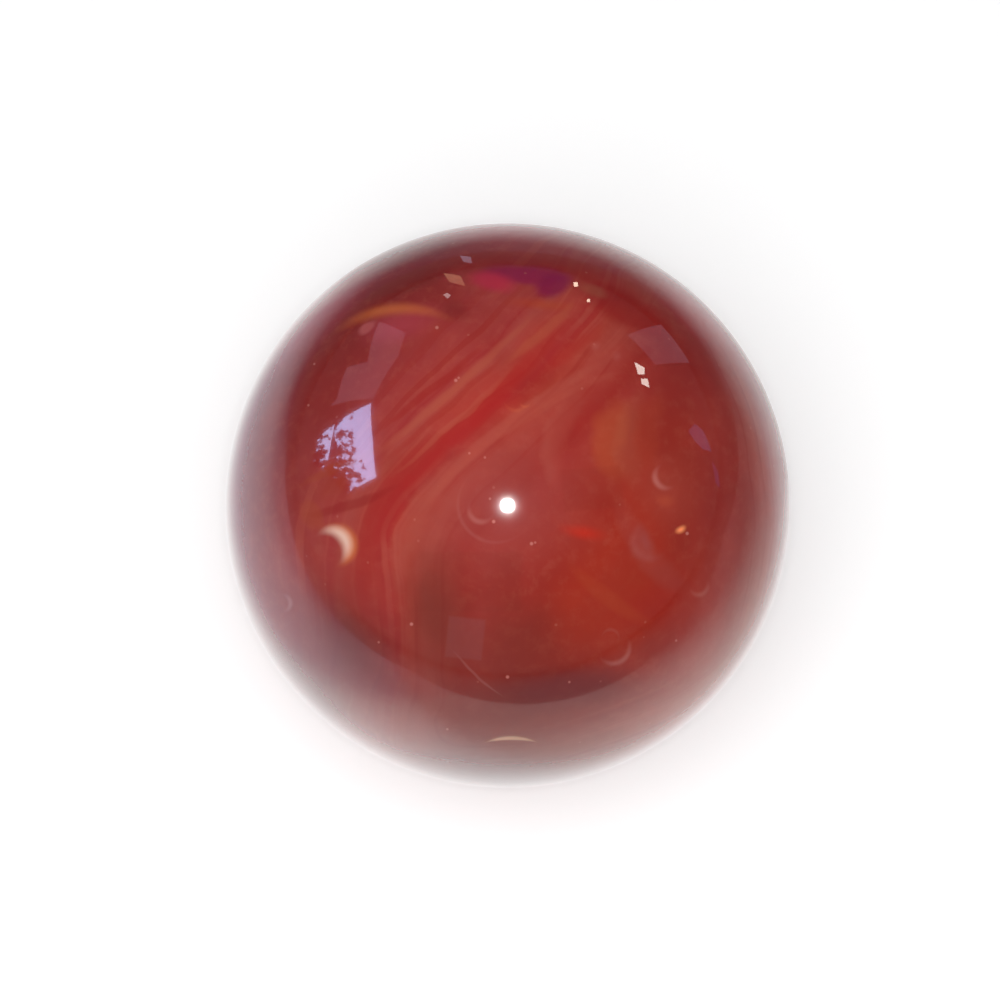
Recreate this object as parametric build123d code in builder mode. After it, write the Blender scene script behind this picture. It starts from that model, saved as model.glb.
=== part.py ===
from build123d import *
import os

# One carnelian ball, turned and polished from a single piece of stone.
# Millimetres, +Z up, origin at the ball's centre.

# ---- driving dimension ----
ball_diameter = 60.0

# ---- worked out from it ----
ball_radius = ball_diameter / 2
pole_top = (0, ball_radius)
pole_bottom = (0, -ball_radius)
equator = (ball_radius, 0)

os.makedirs("parts", exist_ok=True)


# ---- the ball: half a disc, turned once about the vertical axis ----
with BuildPart() as sphere:
    with BuildSketch(Plane.XZ):
        with BuildLine():
            ThreePointArc(pole_bottom, equator, pole_top)
            Line(pole_top, pole_bottom)
        make_face()
    revolve(axis=Axis.Z)

sphere.part.label = "sphere"
export_step(sphere.part, "parts/sphere.step")

print("ball diameter", ball_diameter, "mm, volume", round(sphere.part.volume, 1), "mm3")
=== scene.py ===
import math
import random

import bmesh
import bpy
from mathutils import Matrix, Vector


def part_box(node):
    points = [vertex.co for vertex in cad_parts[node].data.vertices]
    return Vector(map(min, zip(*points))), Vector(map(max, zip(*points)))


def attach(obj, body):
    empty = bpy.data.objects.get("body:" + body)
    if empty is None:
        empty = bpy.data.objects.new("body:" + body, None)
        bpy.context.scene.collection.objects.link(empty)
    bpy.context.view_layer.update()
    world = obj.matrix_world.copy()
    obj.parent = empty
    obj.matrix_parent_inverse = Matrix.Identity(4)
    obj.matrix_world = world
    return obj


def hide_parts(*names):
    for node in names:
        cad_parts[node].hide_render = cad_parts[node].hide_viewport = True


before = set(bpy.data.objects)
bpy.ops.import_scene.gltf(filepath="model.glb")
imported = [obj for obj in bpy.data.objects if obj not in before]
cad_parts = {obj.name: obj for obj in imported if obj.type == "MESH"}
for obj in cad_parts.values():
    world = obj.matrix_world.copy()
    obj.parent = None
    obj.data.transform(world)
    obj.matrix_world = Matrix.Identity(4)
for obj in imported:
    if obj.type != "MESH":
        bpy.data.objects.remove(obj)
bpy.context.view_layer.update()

# ---- sizes, from the frame ----
low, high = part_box("sphere")
CENTRE = (low + high) / 2
RADIUS = (high.z - low.z) / 2

# ---- how the ball is looked at ----
ELEVATION = math.radians(69)  # of the camera above the floor
DISTANCE = 12.0  # of the camera from the ball's centre, in ball radii
DISC_WIDTH = 0.565  # share of the picture's width that the ball takes
CAMERA_SHIFT = (-0.0075, 0.0055)  # sideways and up, in picture widths

# The stone's own axes, in which its bands and marks are placed: X to the right of the
# viewer, Y up the face that is looked at, and Z out of that face, towards the camera.
FACE_X = Vector((1, 0, 0))
FACE_Y = Vector((0, math.sin(ELEVATION), math.cos(ELEVATION)))
FACE_Z = Vector((0, -math.cos(ELEVATION), math.sin(ELEVATION)))


def tone(red, green, blue):
    """A colour given as screen values from 0 to 255, made linear for a shader."""
    parts = [value / 255 for value in (red, green, blue)]
    linear = [((v + 0.055) / 1.055) ** 2.4 if v > 0.04045 else v / 12.92 for v in parts]
    return (*linear, 1.0)


def seen_at(x, y):
    """The point of a ball of radius 1, in the stone's axes, that shows at x, y on its disc.

    The disc's edge is at 1. Beyond it the point is on the edge itself.
    """
    slope = 1 / math.sqrt(DISTANCE**2 - 1)
    ray = Vector((x * slope, y * slope, -1)).normalized()
    eye = Vector((0, 0, DISTANCE))
    along = -eye.dot(ray)
    reach = along**2 - DISTANCE**2 + 1
    return (eye + ray * (along - math.sqrt(max(reach, 0)))).normalized()


def in_room(direction):
    """A direction in the stone's axes, turned into the frame's."""
    return FACE_X * direction[0] + FACE_Y * direction[1] + FACE_Z * direction[2]


def mirrored_at(x, y):
    """The direction in the room whose mirror image shows at x, y on the ball's disc."""
    normal = seen_at(x, y)
    to_eye = (Vector((0, 0, DISTANCE)) - normal).normalized()
    return in_room(2 * normal.dot(to_eye) * normal - to_eye).normalized()


# ---------------------------------------------------------------- shader nodes


class Recipe:
    """Adds shader nodes to a node tree. Every step returns the socket that it puts out."""

    def __init__(self, tree):
        self.tree = tree
        tree.nodes.clear()

    def node(self, kind, **settings):
        made = self.tree.nodes.new("ShaderNode" + kind)
        for name, value in settings.items():
            setattr(made, name, value)
        return made

    def feed(self, socket, value):
        if isinstance(value, bpy.types.NodeSocket):
            self.tree.links.new(value, socket)
        else:
            socket.default_value = value

    def math(self, operation, *values):
        made = self.node("Math", operation=operation)
        for socket, value in zip(made.inputs, values):
            self.feed(socket, value)
        return made.outputs[0]

    def vector(self, operation, *values):
        made = self.node("VectorMath", operation=operation)
        for socket, value in zip(made.inputs, values):
            self.feed(socket, value)
        single = operation in ("DOT_PRODUCT", "DISTANCE", "LENGTH")
        return made.outputs["Value" if single else "Vector"]

    def scaled(self, value, factor):
        made = self.node("VectorMath", operation="SCALE")
        self.feed(made.inputs["Vector"], value)
        self.feed(made.inputs["Scale"], factor)
        return made.outputs["Vector"]

    def step(self, value, low_end, high_end):
        """0 below low_end, 1 above high_end, and smooth between them."""
        made = self.node("MapRange", interpolation_type="SMOOTHSTEP")
        self.feed(made.inputs["Value"], value)
        self.feed(made.inputs["From Min"], low_end)
        self.feed(made.inputs["From Max"], high_end)
        return made.outputs["Result"]

    def noise(self, at, scale, detail=2.0, roughness=0.5, output="Fac"):
        made = self.node("TexNoise", noise_dimensions="3D")
        self.feed(made.inputs["Vector"], at)
        self.feed(made.inputs["Scale"], scale)
        self.feed(made.inputs["Detail"], detail)
        self.feed(made.inputs["Roughness"], roughness)
        return made.outputs[output]

    def streaks(self, along, scale, detail=2.0):
        """Noise that changes along one number only, for the layers of a band."""
        made = self.node("TexNoise", noise_dimensions="1D")
        self.feed(made.inputs["W"], along)
        self.feed(made.inputs["Scale"], scale)
        self.feed(made.inputs["Detail"], detail)
        return made.outputs["Fac"]

    def mix(self, factor, first, second, blend="MIX"):
        made = self.node("Mix", data_type="RGBA", blend_type=blend)
        self.feed(made.inputs[0], factor)
        self.feed(made.inputs[6], first)
        self.feed(made.inputs[7], second)
        return made.outputs[2]

    def ramp(self, value, stops):
        made = self.node("ValToRGB")
        self.feed(made.inputs[0], value)
        points = made.color_ramp.elements
        while len(points) < len(stops):
            points.new(0.5)
        for point, (place, colour) in zip(points, stops):
            point.position = place
            point.color = colour
        return made.outputs["Color"]


# ---------------------------------------------------------------- the stone


def stone_place(recipe):
    """Where a point lies in the stone, in its own axes and in ball radii."""
    place = recipe.node("TexCoord").outputs["Object"]
    joined = recipe.node("CombineXYZ")
    for socket, axis in zip(joined.inputs, (FACE_X, FACE_Y, FACE_Z)):
        shifted = recipe.vector("SUBTRACT", place, tuple(CENTRE))
        recipe.feed(socket, recipe.vector("DOT_PRODUCT", shifted, tuple(axis / RADIUS)))
    return joined.outputs[0]


def stirred(recipe, place, scale, amount, detail=2.0):
    """The place moved about by smooth noise, so that what is drawn there wavers."""
    noise = recipe.noise(place, scale, detail, output="Color")
    offset = recipe.vector("SUBTRACT", noise, (0.5, 0.5, 0.5))
    return recipe.vector("ADD", place, recipe.scaled(offset, amount))


# Layers of the main banding, by depth through them
BAND_FROM, BAND_TO = -0.7, 0.9
LAYERS = [
    (-0.70, tone(142, 36, 26)),
    (-0.50, tone(156, 40, 22)),
    (-0.38, tone(146, 38, 28)),
    (-0.28, tone(158, 40, 22)),
    (-0.16, tone(150, 40, 28)),
    (-0.05, tone(153, 46, 37)),
    (0.03, tone(157, 50, 43)),
    (0.08, tone(153, 42, 35)),
    (0.14, tone(162, 58, 49)),
    (0.20, tone(168, 66, 55)),
    (0.25, tone(170, 62, 49)),
    (0.29, tone(166, 48, 41)),
    (0.32, tone(162, 40, 39)),
    (0.355, tone(170, 58, 49)),
    (0.40, tone(166, 58, 49)),
    (0.435, tone(166, 68, 59)),
    (0.47, tone(158, 50, 49)),
    (0.51, tone(160, 58, 53)),
    (0.58, tone(154, 52, 51)),
    (0.68, tone(146, 44, 43)),
    (0.78, tone(136, 36, 37)),
    (0.90, tone(132, 38, 37)),
]


def band_depth(recipe, place):
    """How far out a point lies through the stone's layers.

    The layers lie one inside the other, as they do in agate, round a blunt many-sided
    core. So the depth is the largest of a few distances, each from one side of the core.
    """
    sides = (
        ((-0.70, 0.71, 0.05), 0.00),
        ((-1.00, -0.05, 0.10), -0.20),
        ((0.75, 0.10, -0.55), -0.15),
        ((0.15, -0.75, -0.60), -0.10),
        ((-0.10, 0.35, -0.90), -0.20),
    )
    depth = None
    for normal, offset in sides:
        distance = recipe.math("ADD", recipe.vector("DOT_PRODUCT", place, normal), offset)
        depth = distance if depth is None else recipe.math("SMOOTH_MAX", depth, distance, 0.18)
    return depth


def streaked(recipe, colour, place, depth):
    """Fine pale and dark lines within the bands, which come and go along them."""
    present = recipe.noise(place, 1.7, 2.0)
    banded = recipe.step(recipe.math("ABSOLUTE", recipe.math("SUBTRACT", depth, 0.34)), 0.36, 0.16)
    fine = recipe.streaks(depth, 24.0, 2.0)
    pale = recipe.math("MULTIPLY", recipe.step(fine, 0.50, 0.68), recipe.step(present, 0.38, 0.60))
    dark = recipe.math("MULTIPLY", recipe.step(fine, 0.48, 0.32), recipe.step(present, 0.62, 0.42))
    pale = recipe.math("MULTIPLY", recipe.math("MULTIPLY", pale, banded), 0.42)
    dark = recipe.math("MULTIPLY", recipe.math("MULTIPLY", dark, banded), 0.42)
    colour = recipe.mix(pale, colour, tone(182, 84, 68))
    return recipe.mix(dark, colour, tone(146, 26, 22))


def clouded(recipe, colour, place):
    """Cloudiness: broad light and dark drifts, and a fine mottle."""
    broad = recipe.noise(place, 2.6, 4.0, 0.55)
    colour = recipe.mix(recipe.math("MULTIPLY", recipe.step(broad, 0.54, 0.34), 0.30), colour,
                        tone(128, 26, 18))
    colour = recipe.mix(recipe.math("MULTIPLY", recipe.step(broad, 0.50, 0.72), 0.28), colour,
                        tone(176, 66, 48))
    fine = recipe.noise(place, 24.0, 3.0, 0.6)
    return recipe.mix(recipe.math("MULTIPLY", recipe.step(fine, 0.45, 0.75), 0.14), colour,
                      tone(190, 96, 76))


# Broad patches of colour: place on the disc, half sizes, turn in degrees, how soft the edge is
# (1 is all edge), how strong it is, and its colour
PATCHES = [
    # the paler middle, painted light: the glow round the flash's mirror image
    ((-0.02, 0.02), (0.42, 0.34), 0, 1.0, 0.55, tone(154, 62, 58)),
    # olive brown at the lower left
    ((-0.26, -0.38), (0.17, 0.34), 8, 1.0, 0.75, tone(114, 38, 28)),
    ((0.00, -0.48), (0.42, 0.20), 0, 1.0, 0.50, tone(114, 36, 26)),
    # dark foot
    ((0.00, -0.70), (0.60, 0.24), 0, 1.0, 0.70, tone(104, 32, 28)),
    ((0.22, -0.65), (0.32, 0.10), 5, 0.8, 0.50, tone(98, 30, 38)),
    ((0.00, -1.00), (0.95, 0.36), 0, 1.0, 0.80, tone(72, 20, 20)),
    ((-0.55, -0.53), (0.42, 0.26), -45, 1.0, 0.75, tone(92, 30, 34)),
    ((-0.70, -0.68), (0.40, 0.20), -45, 1.0, 0.55, tone(80, 22, 30)),
    # clear orange red at the lower right
    ((0.42, -0.33), (0.34, 0.24), 20, 1.0, 0.75, tone(158, 40, 18)),
    ((0.52, -0.35), (0.18, 0.12), 30, 1.0, 0.60, tone(158, 28, 16)),
    ((0.68, -0.42), (0.25, 0.30), 0, 1.0, 0.40, tone(166, 42, 34)),
    ((0.27, -0.095), (0.095, 0.032), -8, 1.0, 0.65, tone(196, 38, 18)),
    ((0.33, -0.02), (0.09, 0.08), 0, 0.7, 0.25, tone(150, 34, 22)),
    # warm brown at the left, where the bands begin
    ((-0.56, 0.10), (0.26, 0.10), 25, 1.0, 0.50, tone(150, 48, 24)),
    ((-0.66, 0.40), (0.18, 0.26), 0, 1.0, 0.40, tone(144, 34, 30)),
    # pinkish brown at the right
    ((0.56, 0.06), (0.16, 0.20), 0, 1.0, 0.45, tone(166, 70, 56)),
    # deep red towards the top right and the right
    ((0.64, 0.52), (0.26, 0.32), 35, 1.0, 0.50, tone(132, 18, 22)),
    ((0.43, 0.69), (0.19, 0.085), -25, 0.6, 0.75, tone(146, 16, 14)),
    ((0.74, 0.00), (0.10, 0.36), 0, 1.0, 0.25, tone(130, 36, 38)),
    # brighter red right round the head and the shoulders
    ((0.00, 1.02), (0.62, 0.15), 0, 0.9, 0.85, tone(196, 44, 60)),
    ((0.70, 0.70), (0.46, 0.15), -45, 0.9, 0.70, tone(186, 40, 54)),
    ((-0.70, 0.70), (0.46, 0.17), 45, 0.9, 0.70, tone(182, 44, 60)),
    ((0.98, 0.00), (0.18, 0.50), 0, 1.0, 0.65, tone(176, 54, 58)),
    # the head, dark between the clear shapes in it
    ((0.00, 0.86), (0.66, 0.08), 0, 0.9, 0.60, tone(122, 20, 28)),
    ((0.32, 0.80), (0.30, 0.10), -20, 0.8, 0.60, tone(136, 20, 22)),
    ((-0.36, 0.79), (0.24, 0.060), 22, 0.8, 0.55, tone(116, 32, 30)),
    ((-0.19, 0.69), (0.08, 0.05), 0, 0.8, 0.50, tone(118, 28, 28)),
    # purple and crimson lens near the top
    ((0.06, 0.815), (0.20, 0.045), -2, 0.6, 0.85, tone(138, 14, 64)),
    ((0.16, 0.782), (0.085, 0.052), 20, 0.6, 0.85, tone(130, 8, 62)),
    ((-0.05, 0.79), (0.11, 0.048), -12, 0.7, 0.85, tone(180, 38, 64)),
    # crimson under the orange arc at the top left
    ((-0.38, 0.64), (0.18, 0.085), 15, 0.9, 0.65, tone(172, 60, 72)),
    ((-0.495, 0.632), (0.040, 0.020), 30, 0.6, 0.60, tone(184, 92, 92)),
    # an orange fringe under the lens
    ((0.12, 0.715), (0.16, 0.030), -4, 1.0, 0.45, tone(178, 66, 30)),
    # a grey-mauve curl at the right, and pale patches
    ((0.487, -0.125), (0.040, 0.085), 20, 1.0, 0.30, tone(154, 88, 86)),
    ((0.56, 0.02), (0.045, 0.030), 0, 0.9, 0.40, tone(186, 78, 50)),
    ((0.313, 0.562), (0.022, 0.026), 0, 1.0, 0.45, tone(182, 92, 84)),
    ((0.390, 0.528), (0.022, 0.026), 0, 1.0, 0.35, tone(178, 88, 80)),
    ((0.30, 0.76), (0.07, 0.030), -20, 0.8, 0.40, tone(156, 84, 60)),
    ((0.61, -0.085), (0.024, 0.016), 30, 1.0, 1.00, tone(255, 150, 96)),
]

# Straight-edged facets of colour that follow cracks in the stone: the same, with no softness
FACETS = [
    ((-0.15, -0.47), (0.062, 0.070), -6, 0.30, tone(140, 74, 74)),
    ((0.30, 0.06), (0.10, 0.07), 5, 0.14, tone(120, 34, 24)),
    ((-0.13, -0.27), (0.17, 0.10), 0, 0.14, tone(112, 36, 24)),
]

# Ribbons of colour: where each starts, turns and ends on the disc, its half width, how soft
# its edge is, how strong it is, and its colour
RIBBONS = [
    # the crimson band and its bend down the left
    ((-0.40, 0.04), (-0.10, 0.33), (0.22, 0.66), 0.040, 1.0, 0.65, tone(164, 30, 28)),
    ((-0.20, 0.24), (-0.44, 0.00), (-0.50, -0.40), 0.042, 1.0, 0.65, tone(158, 30, 28)),
    ((-0.60, -0.15), (-0.54, -0.30), (-0.42, -0.44), 0.050, 1.0, 0.45, tone(146, 28, 28)),
    # the pale bands inside it
    ((-0.30, 0.00), (0.00, 0.29), (0.38, 0.52), 0.028, 0.9, 0.42, tone(176, 82, 68)),
    ((-0.20, 0.13), (-0.34, -0.06), (-0.39, -0.38), 0.032, 0.9, 0.42, tone(170, 78, 64)),
    ((-0.15, 0.08), (-0.27, -0.10), (-0.32, -0.34), 0.022, 0.9, 0.22, tone(164, 72, 60)),
    ((-0.05, 0.22), (0.18, 0.38), (0.40, 0.47), 0.014, 0.9, 0.28, tone(176, 80, 64)),
    # thin lines above it
    ((-0.44, 0.20), (-0.18, 0.42), (0.12, 0.70), 0.018, 0.9, 0.48, tone(176, 84, 64)),
    ((-0.47, 0.25), (-0.27, 0.41), (-0.09, 0.56), 0.016, 0.9, 0.55, tone(150, 28, 24)),
    ((-0.45, 0.15), (-0.22, 0.34), (0.02, 0.56), 0.013, 0.9, 0.40, tone(152, 34, 28)),
    ((-0.40, 0.12), (-0.18, 0.30), (0.02, 0.49), 0.012, 0.9, 0.35, tone(180, 88, 68)),
    ((0.02, 0.52), (0.14, 0.62), (0.24, 0.74), 0.016, 0.9, 0.35, tone(182, 88, 60)),
    ((0.10, 0.46), (0.24, 0.56), (0.36, 0.64), 0.030, 1.0, 0.35, tone(166, 38, 30)),
    # red brown lines at the left edge
    ((-0.74, 0.07), (-0.60, 0.13), (-0.46, 0.20), 0.018, 0.9, 0.40, tone(160, 62, 32)),
    ((-0.70, -0.035), (-0.56, 0.00), (-0.38, 0.08), 0.016, 0.9, 0.55, tone(138, 22, 20)),
    ((-0.73, 0.00), (-0.69, -0.04), (-0.66, -0.09), 0.014, 0.9, 0.45, tone(166, 66, 36)),
    # curved lines on the right, round a second core
    ((0.33, 0.43), (0.17, 0.26), (0.16, 0.10), 0.015, 1.0, 0.40, tone(174, 82, 68)),
    ((0.36, 0.44), (0.23, 0.30), (0.19, 0.12), 0.030, 1.0, 0.40, tone(150, 34, 30)),
    ((0.41, 0.38), (0.345, 0.25), (0.39, 0.07), 0.017, 0.9, 0.50, tone(180, 78, 44)),
    ((0.47, 0.40), (0.41, 0.25), (0.45, 0.06), 0.018, 1.0, 0.35, tone(170, 84, 60)),
    ((0.56, 0.40), (0.49, 0.27), (0.50, 0.10), 0.018, 1.0, 0.30, tone(168, 62, 38)),
    ((0.40, 0.00), (0.49, -0.18), (0.67, -0.31), 0.026, 1.0, 0.20, tone(156, 80, 74)),
    ((0.20, -0.19), (0.36, -0.33), (0.48, -0.41), 0.030, 1.0, 0.22, tone(178, 70, 36)),
    # a crack at the lower left, as a pale line
    ((-0.19, -0.52), (-0.11, -0.60), (-0.02, -0.68), 0.007, 1.0, 0.28, tone(168, 108, 104)),
]

# Clear crescents, where small healed cracks catch the light: centre and radius of the disc,
# then of the disc that is cut from it, how soft the edges are, its strength and colour
CRESCENTS = [
    ((-0.602, -0.140), 0.082, (-0.650, -0.165), 0.074, 0.45, 0.70, tone(222, 128, 70)),
    ((-0.613, -0.138), 0.074, (-0.650, -0.168), 0.072, 0.50, 0.64, tone(240, 218, 206)),
    ((-0.790, -0.345), 0.036, (-0.808, -0.345), 0.036, 0.50, 0.30, tone(206, 160, 160)),
    ((-0.095, -0.020), 0.050, (-0.085, -0.002), 0.050, 0.50, 0.40, tone(222, 152, 144)),
    ((-0.045, 0.000), 0.130, (-0.035, 0.010), 0.128, 0.12, 0.16, tone(206, 136, 128)),
    ((0.556, 0.100), 0.050, (0.576, 0.112), 0.048, 0.50, 0.50, tone(214, 144, 136)),
    ((0.500, -0.130), 0.075, (0.520, -0.115), 0.070, 0.60, 0.35, tone(188, 126, 122)),
    ((0.380, -0.510), 0.062, (0.368, -0.492), 0.062, 0.35, 0.40, tone(200, 140, 132)),
    ((0.365, -0.465), 0.034, (0.362, -0.476), 0.032, 0.40, 0.25, tone(180, 110, 104)),
    ((0.030, 0.372), 0.044, (0.030, 0.392), 0.050, 0.40, 0.55, tone(204, 100, 64)),
    ((0.062, 0.362), 0.020, (0.062, 0.376), 0.022, 0.50, 0.45, tone(204, 100, 64)),
    ((0.680, -0.290), 0.040, (0.672, -0.272), 0.038, 0.50, 0.30, tone(200, 130, 118)),
    # the orange arc at the top left
    ((-0.395, 0.418), 0.306, (-0.372, 0.098), 0.560, 0.16, 0.95, tone(206, 106, 54)),
    # a white line near the foot, with brown over it
    ((0.013, -0.975), 0.190, (0.013, -1.250), 0.462, 0.06, 0.40, tone(140, 74, 48)),
    ((0.013, -0.975), 0.180, (0.013, -1.250), 0.460, 0.04, 0.62, tone(226, 180, 146)),
]

# Pale specks on the side that is looked at, by size
SPECKS = [
    (0.0080, 0.60, [(-0.34, -0.42), (0.00, -0.607), (-0.049, -0.057), (-0.183, 0.443),
                    (-0.25, 0.63), (0.085, -0.135), (0.636, -0.099)]),
    (0.0060, 0.42, [(-0.456, -0.484), (0.219, -0.625), (0.597, -0.478), (-0.213, -0.792),
                    (0.098, -0.131), (-0.062, 0.024), (-0.705, 0.355), (-0.135, 0.185),
                    (-0.08, 0.170), (-0.684, 0.501), (-0.173, 0.452)]),
]


def on_disc(recipe, place):
    """The place as it shows on the disc: its X and Y. Z only counts on the far side."""
    split = recipe.node("SeparateXYZ")
    recipe.feed(split.inputs[0], place)
    joined = recipe.node("CombineXYZ")
    recipe.feed(joined.inputs["X"], split.outputs["X"])
    recipe.feed(joined.inputs["Y"], split.outputs["Y"])
    behind = recipe.math("MINIMUM", split.outputs["Z"], 0.0)
    recipe.feed(joined.inputs["Z"], recipe.math("MULTIPLY", behind, 4.0))
    return joined.outputs[0]


def disc_point(x, y):
    """Where x, y of the disc lies in the place that on_disc gives. It may be off the ball."""
    if math.hypot(x, y) > 1:
        return (x, y, 0.0)
    shown = seen_at(x, y)
    return (shown.x, shown.y, 0.0)


def inside_of(recipe, place, centre, sizes, turn):
    """The place as an ellipsoid in the stone has it: at length 1 it is on the ellipsoid."""
    made = recipe.node("Mapping", vector_type="TEXTURE")
    recipe.feed(made.inputs["Vector"], place)
    recipe.feed(made.inputs["Location"], tuple(centre))
    recipe.feed(made.inputs["Rotation"], tuple(turn))
    recipe.feed(made.inputs["Scale"], tuple(sizes))
    return made.outputs[0]


def patch(recipe, colour, place, centre, sizes, turn, softness, strength, tint):
    """A soft oval of colour."""
    away = recipe.vector("LENGTH", inside_of(recipe, place, centre, sizes, turn))
    mask = recipe.math("MULTIPLY", recipe.step(away, 1.0, 1.0 - softness), strength)
    return recipe.mix(mask, colour, tint)


def facet(recipe, colour, place, shape):
    """A patch of colour with straight edges."""
    at, half, turn, strength, tint = shape
    turn = (0, 0, math.radians(turn))
    local = inside_of(recipe, place, disc_point(*at), (*half, 0.6), turn)
    split = recipe.node("SeparateXYZ")
    recipe.feed(split.inputs[0], recipe.vector("ABSOLUTE", local))
    away = recipe.math("MAXIMUM", split.outputs["X"], split.outputs["Y"])
    mask = recipe.math("MULTIPLY", recipe.step(away, 1.06, 0.90), strength)
    return recipe.mix(mask, colour, tint)


def ribbon(recipe, colour, place, shape):
    """A long soft streak along the arc through three points of the ball's surface."""
    start, middle, end, width, softness, strength, tint = shape
    first, second, third = (seen_at(*point) for point in (start, middle, end))
    normal = (second - first).cross(third - first).normalized()
    reach = (third - first).length * 0.6
    offset = recipe.math("ADD", recipe.vector("DOT_PRODUCT", place, tuple(normal / width)),
                         -normal.dot(first) / width)
    across = recipe.math("MULTIPLY", offset, offset)
    away = recipe.math("DIVIDE", recipe.vector("DISTANCE", place, tuple(second)), reach)
    inside = recipe.math("MULTIPLY_ADD", recipe.math("MULTIPLY", away, away), -1.0,
                         recipe.math("SUBTRACT", 1.0, across))
    mask = recipe.math("MULTIPLY", recipe.step(inside, 0.0, softness), strength)
    return recipe.mix(mask, colour, tint)


def crescent(recipe, colour, place, shape):
    """A disc of colour with a second disc cut out of it."""
    centre, radius, bite, bite_radius, edge, strength, tint = shape
    away = recipe.vector("DISTANCE", place, disc_point(*centre))
    bitten = recipe.vector("DISTANCE", place, disc_point(*bite))
    spread = 0.5 * edge * radius
    kept = recipe.math("MULTIPLY", recipe.step(away, radius, radius - 2 * spread),
                       recipe.step(bitten, bite_radius - spread, bite_radius + spread))
    return recipe.mix(recipe.math("MULTIPLY", kept, strength), colour, tint)


def speckled(recipe, colour, place, size, strength, points):
    """Small round pale specks, all of one size."""
    nearest = None
    for point in points:
        away = recipe.vector("DISTANCE", place, disc_point(*point))
        nearest = away if nearest is None else recipe.math("MINIMUM", nearest, away)
    mask = recipe.math("MULTIPLY", recipe.step(nearest, size, size * 0.3), strength)
    return recipe.mix(mask, colour, tone(216, 140, 128))


def dusted(recipe, colour, place):
    """Very fine pale dust in the stone, a fleck here and there all round."""
    cells = recipe.node("TexVoronoi", feature="F1", voronoi_dimensions="3D")
    recipe.feed(cells.inputs["Vector"], place)
    cells.inputs["Scale"].default_value = 9.0
    fleck = recipe.step(cells.outputs["Distance"], 0.060, 0.025)
    mask = recipe.math("MULTIPLY", fleck, 0.20)
    return recipe.mix(mask, colour, tone(206, 128, 112))


def far_side(recipe, colour, place):
    """Patches on the side away from the viewer, scattered with a fixed seed."""
    scatter = random.Random(11)
    tints = (tone(158, 38, 20), tone(118, 34, 24), tone(176, 74, 52), tone(120, 22, 24))
    for count in range(12):
        out = Vector([scatter.uniform(-1, 1) for axis in range(3)]).normalized()
        if out.z > -0.1:
            out.z = -abs(out.z) - 0.15
            out.normalize()
        sizes = (scatter.uniform(0.18, 0.40), scatter.uniform(0.08, 0.20), 0.4)
        colour = patch(recipe, colour, place, out, sizes, out.to_track_quat("Z", "Y").to_euler(),
                       1.0, scatter.uniform(0.35, 0.65), tints[count % len(tints)])
    return colour


def shaded_under_gloss(recipe, place):
    """How much the stone under its polish mirrors: less towards the top right, as painted shade
    that darkens its mirror image there.
    """
    towards = recipe.vector("DOT_PRODUCT", place, (0.35, 0.75, 0.0))
    return recipe.math("MULTIPLY", recipe.step(towards, 0.42, -0.45), 0.5)


STONE_IOR = 1.54  # of carnelian, for both the polish and the stone under it
UNDER_SURFACE = 0.05  # how far light wanders under the surface, in ball radii


def carnelian():
    """Polished, translucent orange-red stone with the banding of agate."""
    material = bpy.data.materials.new("carnelian_polished")
    material.use_nodes = True
    recipe = Recipe(material.node_tree)
    place = stone_place(recipe)
    wavering = stirred(recipe, place, 1.3, 0.16)
    wavering = stirred(recipe, wavering, 5.0, 0.03)
    drifting = stirred(recipe, place, 6.0, 0.03)
    disc = on_disc(recipe, place)
    drifting_disc = on_disc(recipe, drifting)

    depth = band_depth(recipe, wavering)
    share = recipe.math("DIVIDE", recipe.math("SUBTRACT", depth, BAND_FROM), BAND_TO - BAND_FROM)
    stops = [((at - BAND_FROM) / (BAND_TO - BAND_FROM), colour) for at, colour in LAYERS]
    colour = recipe.ramp(share, stops)
    colour = clouded(recipe, colour, wavering)
    colour = streaked(recipe, colour, wavering, depth)
    colour = far_side(recipe, colour, drifting)

    for at, half, turn, softness, strength, tint in PATCHES:
        turn = (0, 0, math.radians(turn))
        colour = patch(recipe, colour, drifting_disc, disc_point(*at), (*half, 0.6), turn,
                       softness, strength, tint)
    for shape in RIBBONS:
        colour = ribbon(recipe, colour, drifting, shape)
    for shape in FACETS:
        colour = facet(recipe, colour, disc, shape)
    for shape in CRESCENTS:
        colour = crescent(recipe, colour, disc, shape)
    for size, strength, points in SPECKS:
        colour = speckled(recipe, colour, disc, size, strength, points)
    colour = dusted(recipe, colour, place)

    shader = recipe.node("BsdfPrincipled")
    recipe.feed(shader.inputs["Base Color"], colour)
    # Less mirroring towards the top right: painted shade on the stone's mirror image
    recipe.feed(shader.inputs["Specular IOR Level"], shaded_under_gloss(recipe, place))
    shader.inputs["Roughness"].default_value = 0.12
    shader.inputs["IOR"].default_value = STONE_IOR
    shader.inputs["Subsurface Weight"].default_value = 0.3
    shader.inputs["Subsurface Radius"].default_value = (1.0, 0.30, 0.18)
    shader.inputs["Subsurface Scale"].default_value = UNDER_SURFACE * RADIUS
    shader.inputs["Coat Weight"].default_value = 1.0
    shader.inputs["Coat Roughness"].default_value = 0.015
    shader.inputs["Coat IOR"].default_value = STONE_IOR
    output = recipe.node("OutputMaterial")
    recipe.feed(output.inputs["Surface"], shader.outputs[0])
    return material


# ---------------------------------------------------------------- the ball's mesh

CELLS = 128  # quads along each edge of the cube that the ball is made from
BAKE_MAP = "OFBake"  # the name of the map that the ball is laid out on; the name that the exporter looks for


def even_angle(share):
    """Moves a place on a cube's face, -1 to 1, so that equal steps are equal angles."""
    return math.tan(share * math.pi / 4)


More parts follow.
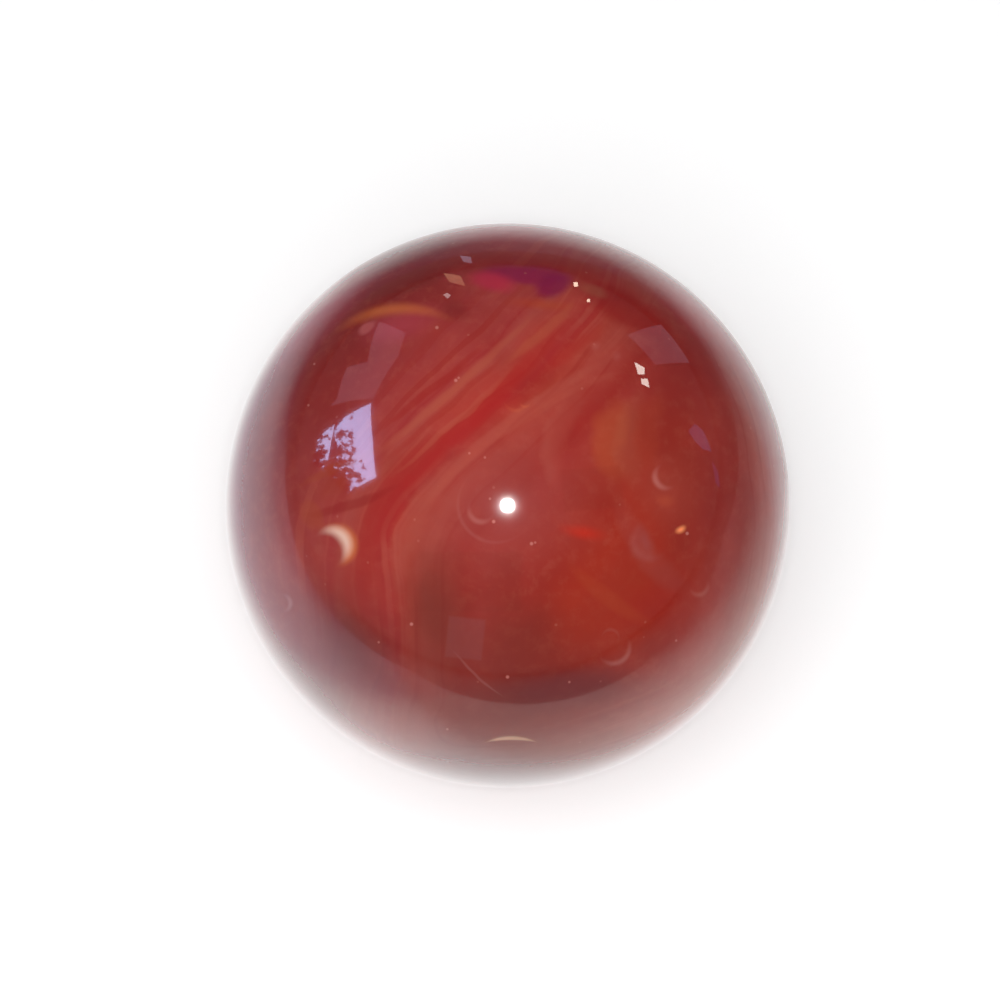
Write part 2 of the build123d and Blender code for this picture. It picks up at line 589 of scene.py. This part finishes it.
def ball_mesh(name):
    """An even ball of quads: a divided cube, blown up to the radius, with its map."""
    bm = bmesh.new()
    bmesh.ops.create_cube(bm, size=2)
    bmesh.ops.subdivide_edges(bm, edges=bm.edges[:], cuts=CELLS - 1, use_grid_fill=True)
    layer = bm.loops.layers.uv.new(BAKE_MAP)
    for face in bm.faces:
        lay_out(face, layer)
    for vertex in bm.verts:
        out = Vector([even_angle(c) for c in vertex.co]).normalized()
        vertex.co = CENTRE + out * RADIUS
    for face in bm.faces:
        face.smooth = True
    mesh = bpy.data.meshes.new(name)
    bm.to_mesh(mesh)
    bm.free()
    return mesh


def lay_out(face, layer):
    """Puts a face of the divided cube on the map: six squares, three across and two up."""
    middle = face.calc_center_median()
    axis = max(range(3), key=lambda i: abs(middle[i]))
    across, up = [i for i in range(3) if i != axis]
    row = 0 if middle[axis] < 0 else 1
    margin = 0.01
    for loop in face.loops:
        share = [(loop.vert.co[i] + 1) / 2 for i in (across, up)]
        share = [margin + (1 - 2 * margin) * value for value in share]
        loop[layer].uv = ((axis + share[0]) / 3, (row + share[1]) / 2)


def make_ball():
    ball = bpy.data.objects.new("carnelian_ball", ball_mesh("carnelian_ball"))
    bpy.context.collection.objects.link(ball)
    ball.data.materials.append(carnelian())
    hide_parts("sphere")
    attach(ball, "root")


# ---------------------------------------------------------------- the studio

FLOOR_REACH = 2.0  # half the floor's width, in metres
SHEET_TONE = 0.93  # of the pale sheet that the ball stands on
ROOM_TONE = 0.18  # of what the ball mirrors beyond it, and of the room at eye level
SHEET_GLOW = 0.26  # what the floor adds of its own, to the camera and in mirror images
EDGE_BLUR = 0.3  # how softly the sheet's edge ends, in ball radii
# The sheet's sides: the way each faces, and how far out it is, in ball radii
SHEET_SIDES = [
    ((0.42, -0.91), 5.05),
    ((-0.73, -0.68), 8.5),
    ((-1.0, 0.0), 12.0),
    ((-0.33, 0.94), 7.5),
    ((0.71, 0.71), 6.2),
    ((1.0, 0.0), 10.5),
]
# In the ball's mirror image the sheet dulls outwards, as it did in the room's uneven light:
# which way, from where to where, and to what share of its tone
SHEET_FADES = [
    ((0.0, -1.0), 1.3, 3.9, (0.67, 0.66, 0.66, 1)),
    ((-1.0, 0.0), 1.3, 2.2, (0.78, 0.71, 0.78, 1)),
    ((-1.0, 0.0), 4.0, 7.5, (0.64, 0.64, 0.68, 1)),
    ((1.0, 0.0), 1.6, 4.8, (0.44, 0.42, 0.44, 1)),
    ((0.0, 1.0), 2.0, 5.2, (0.27, 0.26, 0.30, 1)),
    ((0.71, -0.71), 0.9, 1.7, (0.84, 0.77, 0.74, 1)),
]


def floor_colour(recipe):
    """Plain and pale to the camera. The ball mirrors a duller sheet, with grey beyond it."""
    place = recipe.node("TexCoord").outputs["Object"]
    plain = (SHEET_TONE, SHEET_TONE, SHEET_TONE, 1)
    ground = (ROOM_TONE, ROOM_TONE, ROOM_TONE, 1)
    beyond = None
    for (x, y), offset in SHEET_SIDES:
        distance = recipe.vector("DOT_PRODUCT", place, (x / RADIUS, y / RADIUS, 0))
        distance = recipe.math("SUBTRACT", distance, offset)
        beyond = distance if beyond is None else recipe.math("MAXIMUM", beyond, distance)
    colour = plain
    for (x, y), start, end, dulled in SHEET_FADES:
        distance = recipe.vector("DOT_PRODUCT", place, (x / RADIUS, y / RADIUS, 0))
        colour = recipe.mix(recipe.step(distance, start, end), colour,
                            recipe.mix(1.0, colour, dulled, "MULTIPLY"))
    colour = recipe.mix(recipe.step(beyond, 0.0, EDGE_BLUR), colour, ground)
    return recipe.mix(recipe.node("LightPath").outputs["Is Camera Ray"], colour, plain)


def background_rays(recipe):
    """1 for rays that see the background, straight or in a reflection, and 0 for light."""
    path = recipe.node("LightPath").outputs
    seen = recipe.math("MAXIMUM", path["Is Camera Ray"], path["Is Glossy Ray"])
    return recipe.math("MAXIMUM", seen, path["Is Transmission Ray"])


def make_floor():
    bm = bmesh.new()
    bmesh.ops.create_grid(bm, x_segments=8, y_segments=8, size=FLOOR_REACH)
    mesh = bpy.data.meshes.new("floor")
    bm.to_mesh(mesh)
    bm.free()
    floor = bpy.data.objects.new("floor", mesh)
    floor.location = (CENTRE.x, CENTRE.y, low.z)
    bpy.context.collection.objects.link(floor)
    material = bpy.data.materials.new("pale_floor")
    material.use_nodes = True
    recipe = Recipe(material.node_tree)
    shader = recipe.node("BsdfPrincipled")
    colour = floor_colour(recipe)
    recipe.feed(shader.inputs["Base Color"], colour)
    shader.inputs["Roughness"].default_value = 0.9
    shader.inputs["Specular IOR Level"].default_value = 0.0
    recipe.feed(shader.inputs["Emission Color"], colour)
    glow = recipe.math("MULTIPLY", background_rays(recipe), SHEET_GLOW)
    recipe.feed(shader.inputs["Emission Strength"], glow)
    output = recipe.node("OutputMaterial")
    recipe.feed(output.inputs["Surface"], shader.outputs[0])
    mesh.materials.append(material)


def make_world():
    """A dim grey room, darker overhead than at eye level."""
    world = bpy.data.worlds.new("studio")
    bpy.context.scene.world = world
    world.use_nodes = True
    recipe = Recipe(world.node_tree)
    split = recipe.node("SeparateXYZ")
    recipe.feed(split.inputs[0], recipe.node("TexCoord").outputs["Generated"])
    height = recipe.step(split.outputs["Z"], 0.0, 0.8)
    level = ROOM_TONE * 0.8
    sky = recipe.mix(height, (level, level, level, 1), (0.11, 0.11, 0.115, 1))
    background = recipe.node("Background")
    recipe.feed(background.inputs["Color"], sky)
    output = recipe.node("OutputWorld")
    recipe.feed(output.inputs["Surface"], background.outputs[0])


def lamp(name, direction, distance, size, radiance, shine=True):
    """A round flat lamp that faces the ball. radiance is its brightness: a white floor is 1."""
    data = bpy.data.lights.new(name, "AREA")
    data.shape = "DISK"
    data.size = size
    data.energy = radiance * math.pi * math.pi * size**2 / 4
    holder = bpy.data.objects.new(name, data)
    towards = Vector(direction).normalized()
    holder.location = CENTRE + towards * distance
    holder.rotation_euler = towards.to_track_quat("Z", "Y").to_euler()
    holder.visible_camera = False
    holder.visible_glossy = shine
    bpy.context.collection.objects.link(holder)


def make_lamps():
    lamp("flash", FACE_Z, 13.5 * RADIUS, 0.036, 125)
    lamp("softbox", (-0.08, -0.32, 0.93), 0.6, 0.70, 2.85, shine=False)


# Bright things in the room that the ball mirrors: the outline of each as it shows on the
# disc, how bright its red, green and blue are, and how thick the leaves are in front of it
MIRRORED = [
    ("window", [(-0.483, 0.362), (-0.540, 0.335), (-0.610, 0.290), (-0.628, 0.200),
                (-0.640, 0.115), (-0.570, 0.040), (-0.464, 0.100), (-0.476, 0.227)],
     (3.6, 4.8, 8.4), 0.46),
    ("window_side", [(-0.610, 0.290), (-0.670, 0.240), (-0.690, 0.150), (-0.640, 0.115),
                     (-0.628, 0.200)],
     (3.6, 4.6, 7.8), 0.52),
    ("curtain", [(-0.627, 0.352), (-0.603, 0.379), (-0.569, 0.488), (-0.495, 0.508),
                 (-0.454, 0.651), (-0.360, 0.610), (-0.386, 0.528), (-0.474, 0.379)],
     (0.60, 0.51, 0.66), 0.0),
    ("picture", [(0.424, 0.603), (0.543, 0.640), (0.645, 0.504), (0.523, 0.497)],
     (0.54, 0.46, 0.59), 0.0),
    ("pane_high", [(0.449, 0.508), (0.4855, 0.488), (0.4855, 0.464), (0.462, 0.464)],
     (10, 10, 9), 0.0),
    ("pane_low", [(0.472, 0.449), (0.496, 0.449), (0.5025, 0.417), (0.4755, 0.430)],
     (10, 10, 9), 0.0),
    ("shelf", [(0.640, 0.262), (0.662, 0.290), (0.690, 0.268), (0.708, 0.232),
               (0.722, 0.190), (0.690, 0.200), (0.664, 0.226)],
     (0.30, 0.45, 0.90), 0.0),
    ("shelf_low", [(0.722, 0.160), (0.745, 0.120), (0.752, 0.060), (0.736, 0.080)],
     (0.15, 0.25, 0.60), 0.0),
    ("latch", [(-0.227, 0.823), (-0.165, 0.812), (-0.149, 0.776), (-0.205, 0.790)],
     (2.0, 1.1, 0.7), 0.0),
    ("glint", [(-0.228, 0.746), (-0.214, 0.753), (-0.200, 0.744), (-0.212, 0.732)],
     (3.5, 3.0, 3.0), 0.0),
    ("glint_high", [(-0.169, 0.885), (-0.130, 0.880), (-0.125, 0.857), (-0.155, 0.862)],
     (0.9, 0.9, 1.2), 0.0),
    ("glint_right", [(0.233, 0.790), (0.248, 0.790), (0.250, 0.776), (0.236, 0.774)],
     (11, 9, 7), 0.0),
    ("glint_low", [(0.281, 0.731), (0.292, 0.731), (0.292, 0.720), (0.281, 0.720)],
     (11, 9, 7), 0.0),
]


def mirrored_material(name, outline, light, leaves):
    """Light of one colour, broken up by leaves, which are thicker to the left and low down."""
    material = bpy.data.materials.new(name)
    material.use_nodes = True
    recipe = Recipe(material.node_tree)
    strength = 1.0
    if leaves:
        at = recipe.node("TexCoord").outputs["UV"]
        middle = sum((Vector(corner) for corner in outline), Vector((0, 0))) / len(outline)
        open_sky = recipe.vector("DOT_PRODUCT", at, (2.2, 0.7, 0))
        open_sky = recipe.math("SUBTRACT", open_sky, 2.2 * middle.x + 0.7 * middle.y)
        spread = recipe.math("ADD", recipe.noise(at, 34.0, 4.0, 0.65), open_sky)
        strength = recipe.step(spread, leaves - 0.04, leaves + 0.04)
    glow = recipe.node("Emission")
    glow.inputs["Color"].default_value = (*light, 1)
    recipe.feed(glow.inputs["Strength"], strength)
    output = recipe.node("OutputMaterial")
    recipe.feed(output.inputs["Surface"], glow.outputs[0])
    return material


MIRRORED_REACH = 8 * RADIUS  # from the ball's surface to the things that it mirrors
ABOVE_FLOOR = 0.8  # share of the way down to the floor at which such a thing stops


def mirrored_thing(name, outline, light, leaves):
    """A flat light that nothing but a reflection sees, where its image falls on the disc."""
    corners = []
    for x, y in outline:
        surface = CENTRE + in_room(seen_at(x, y)) * RADIUS
        towards = mirrored_at(x, y)
        reach = MIRRORED_REACH
        if towards.z < 0:
            reach = min(reach, ABOVE_FLOOR * (low.z - surface.z) / towards.z)
        corners.append(surface + towards * reach)
    bm = bmesh.new()
    layer = bm.loops.layers.uv.new("disc")
    face = bm.faces.new([bm.verts.new(corner) for corner in corners])
    for loop, at in zip(face.loops, outline):
        loop[layer].uv = at
    mesh = bpy.data.meshes.new(name)
    bm.to_mesh(mesh)
    bm.free()
    mesh.materials.append(mirrored_material(name, outline, light, leaves))
    thing = bpy.data.objects.new(name, mesh)
    thing.visible_camera = False
    thing.visible_diffuse = False
    thing.visible_transmission = False
    thing.visible_shadow = False
    bpy.context.collection.objects.link(thing)


def make_camera():
    data = bpy.data.cameras.new("camera")
    data.sensor_width = 36
    half_view = 1 / math.sqrt(DISTANCE**2 - 1) / DISC_WIDTH
    data.lens = data.sensor_width / 2 / half_view
    data.clip_start = 0.01
    data.shift_x, data.shift_y = CAMERA_SHIFT
    camera = bpy.data.objects.new("camera", data)
    camera.location = CENTRE + FACE_Z * DISTANCE * RADIUS
    camera.rotation_euler = FACE_Z.to_track_quat("Z", "Y").to_euler()
    bpy.context.collection.objects.link(camera)
    bpy.context.scene.camera = camera


make_ball()
make_floor()
make_world()
make_lamps()
for mirrored in MIRRORED:
    mirrored_thing(*mirrored)
make_camera()
bpy.context.scene.view_settings.view_transform = "Standard"
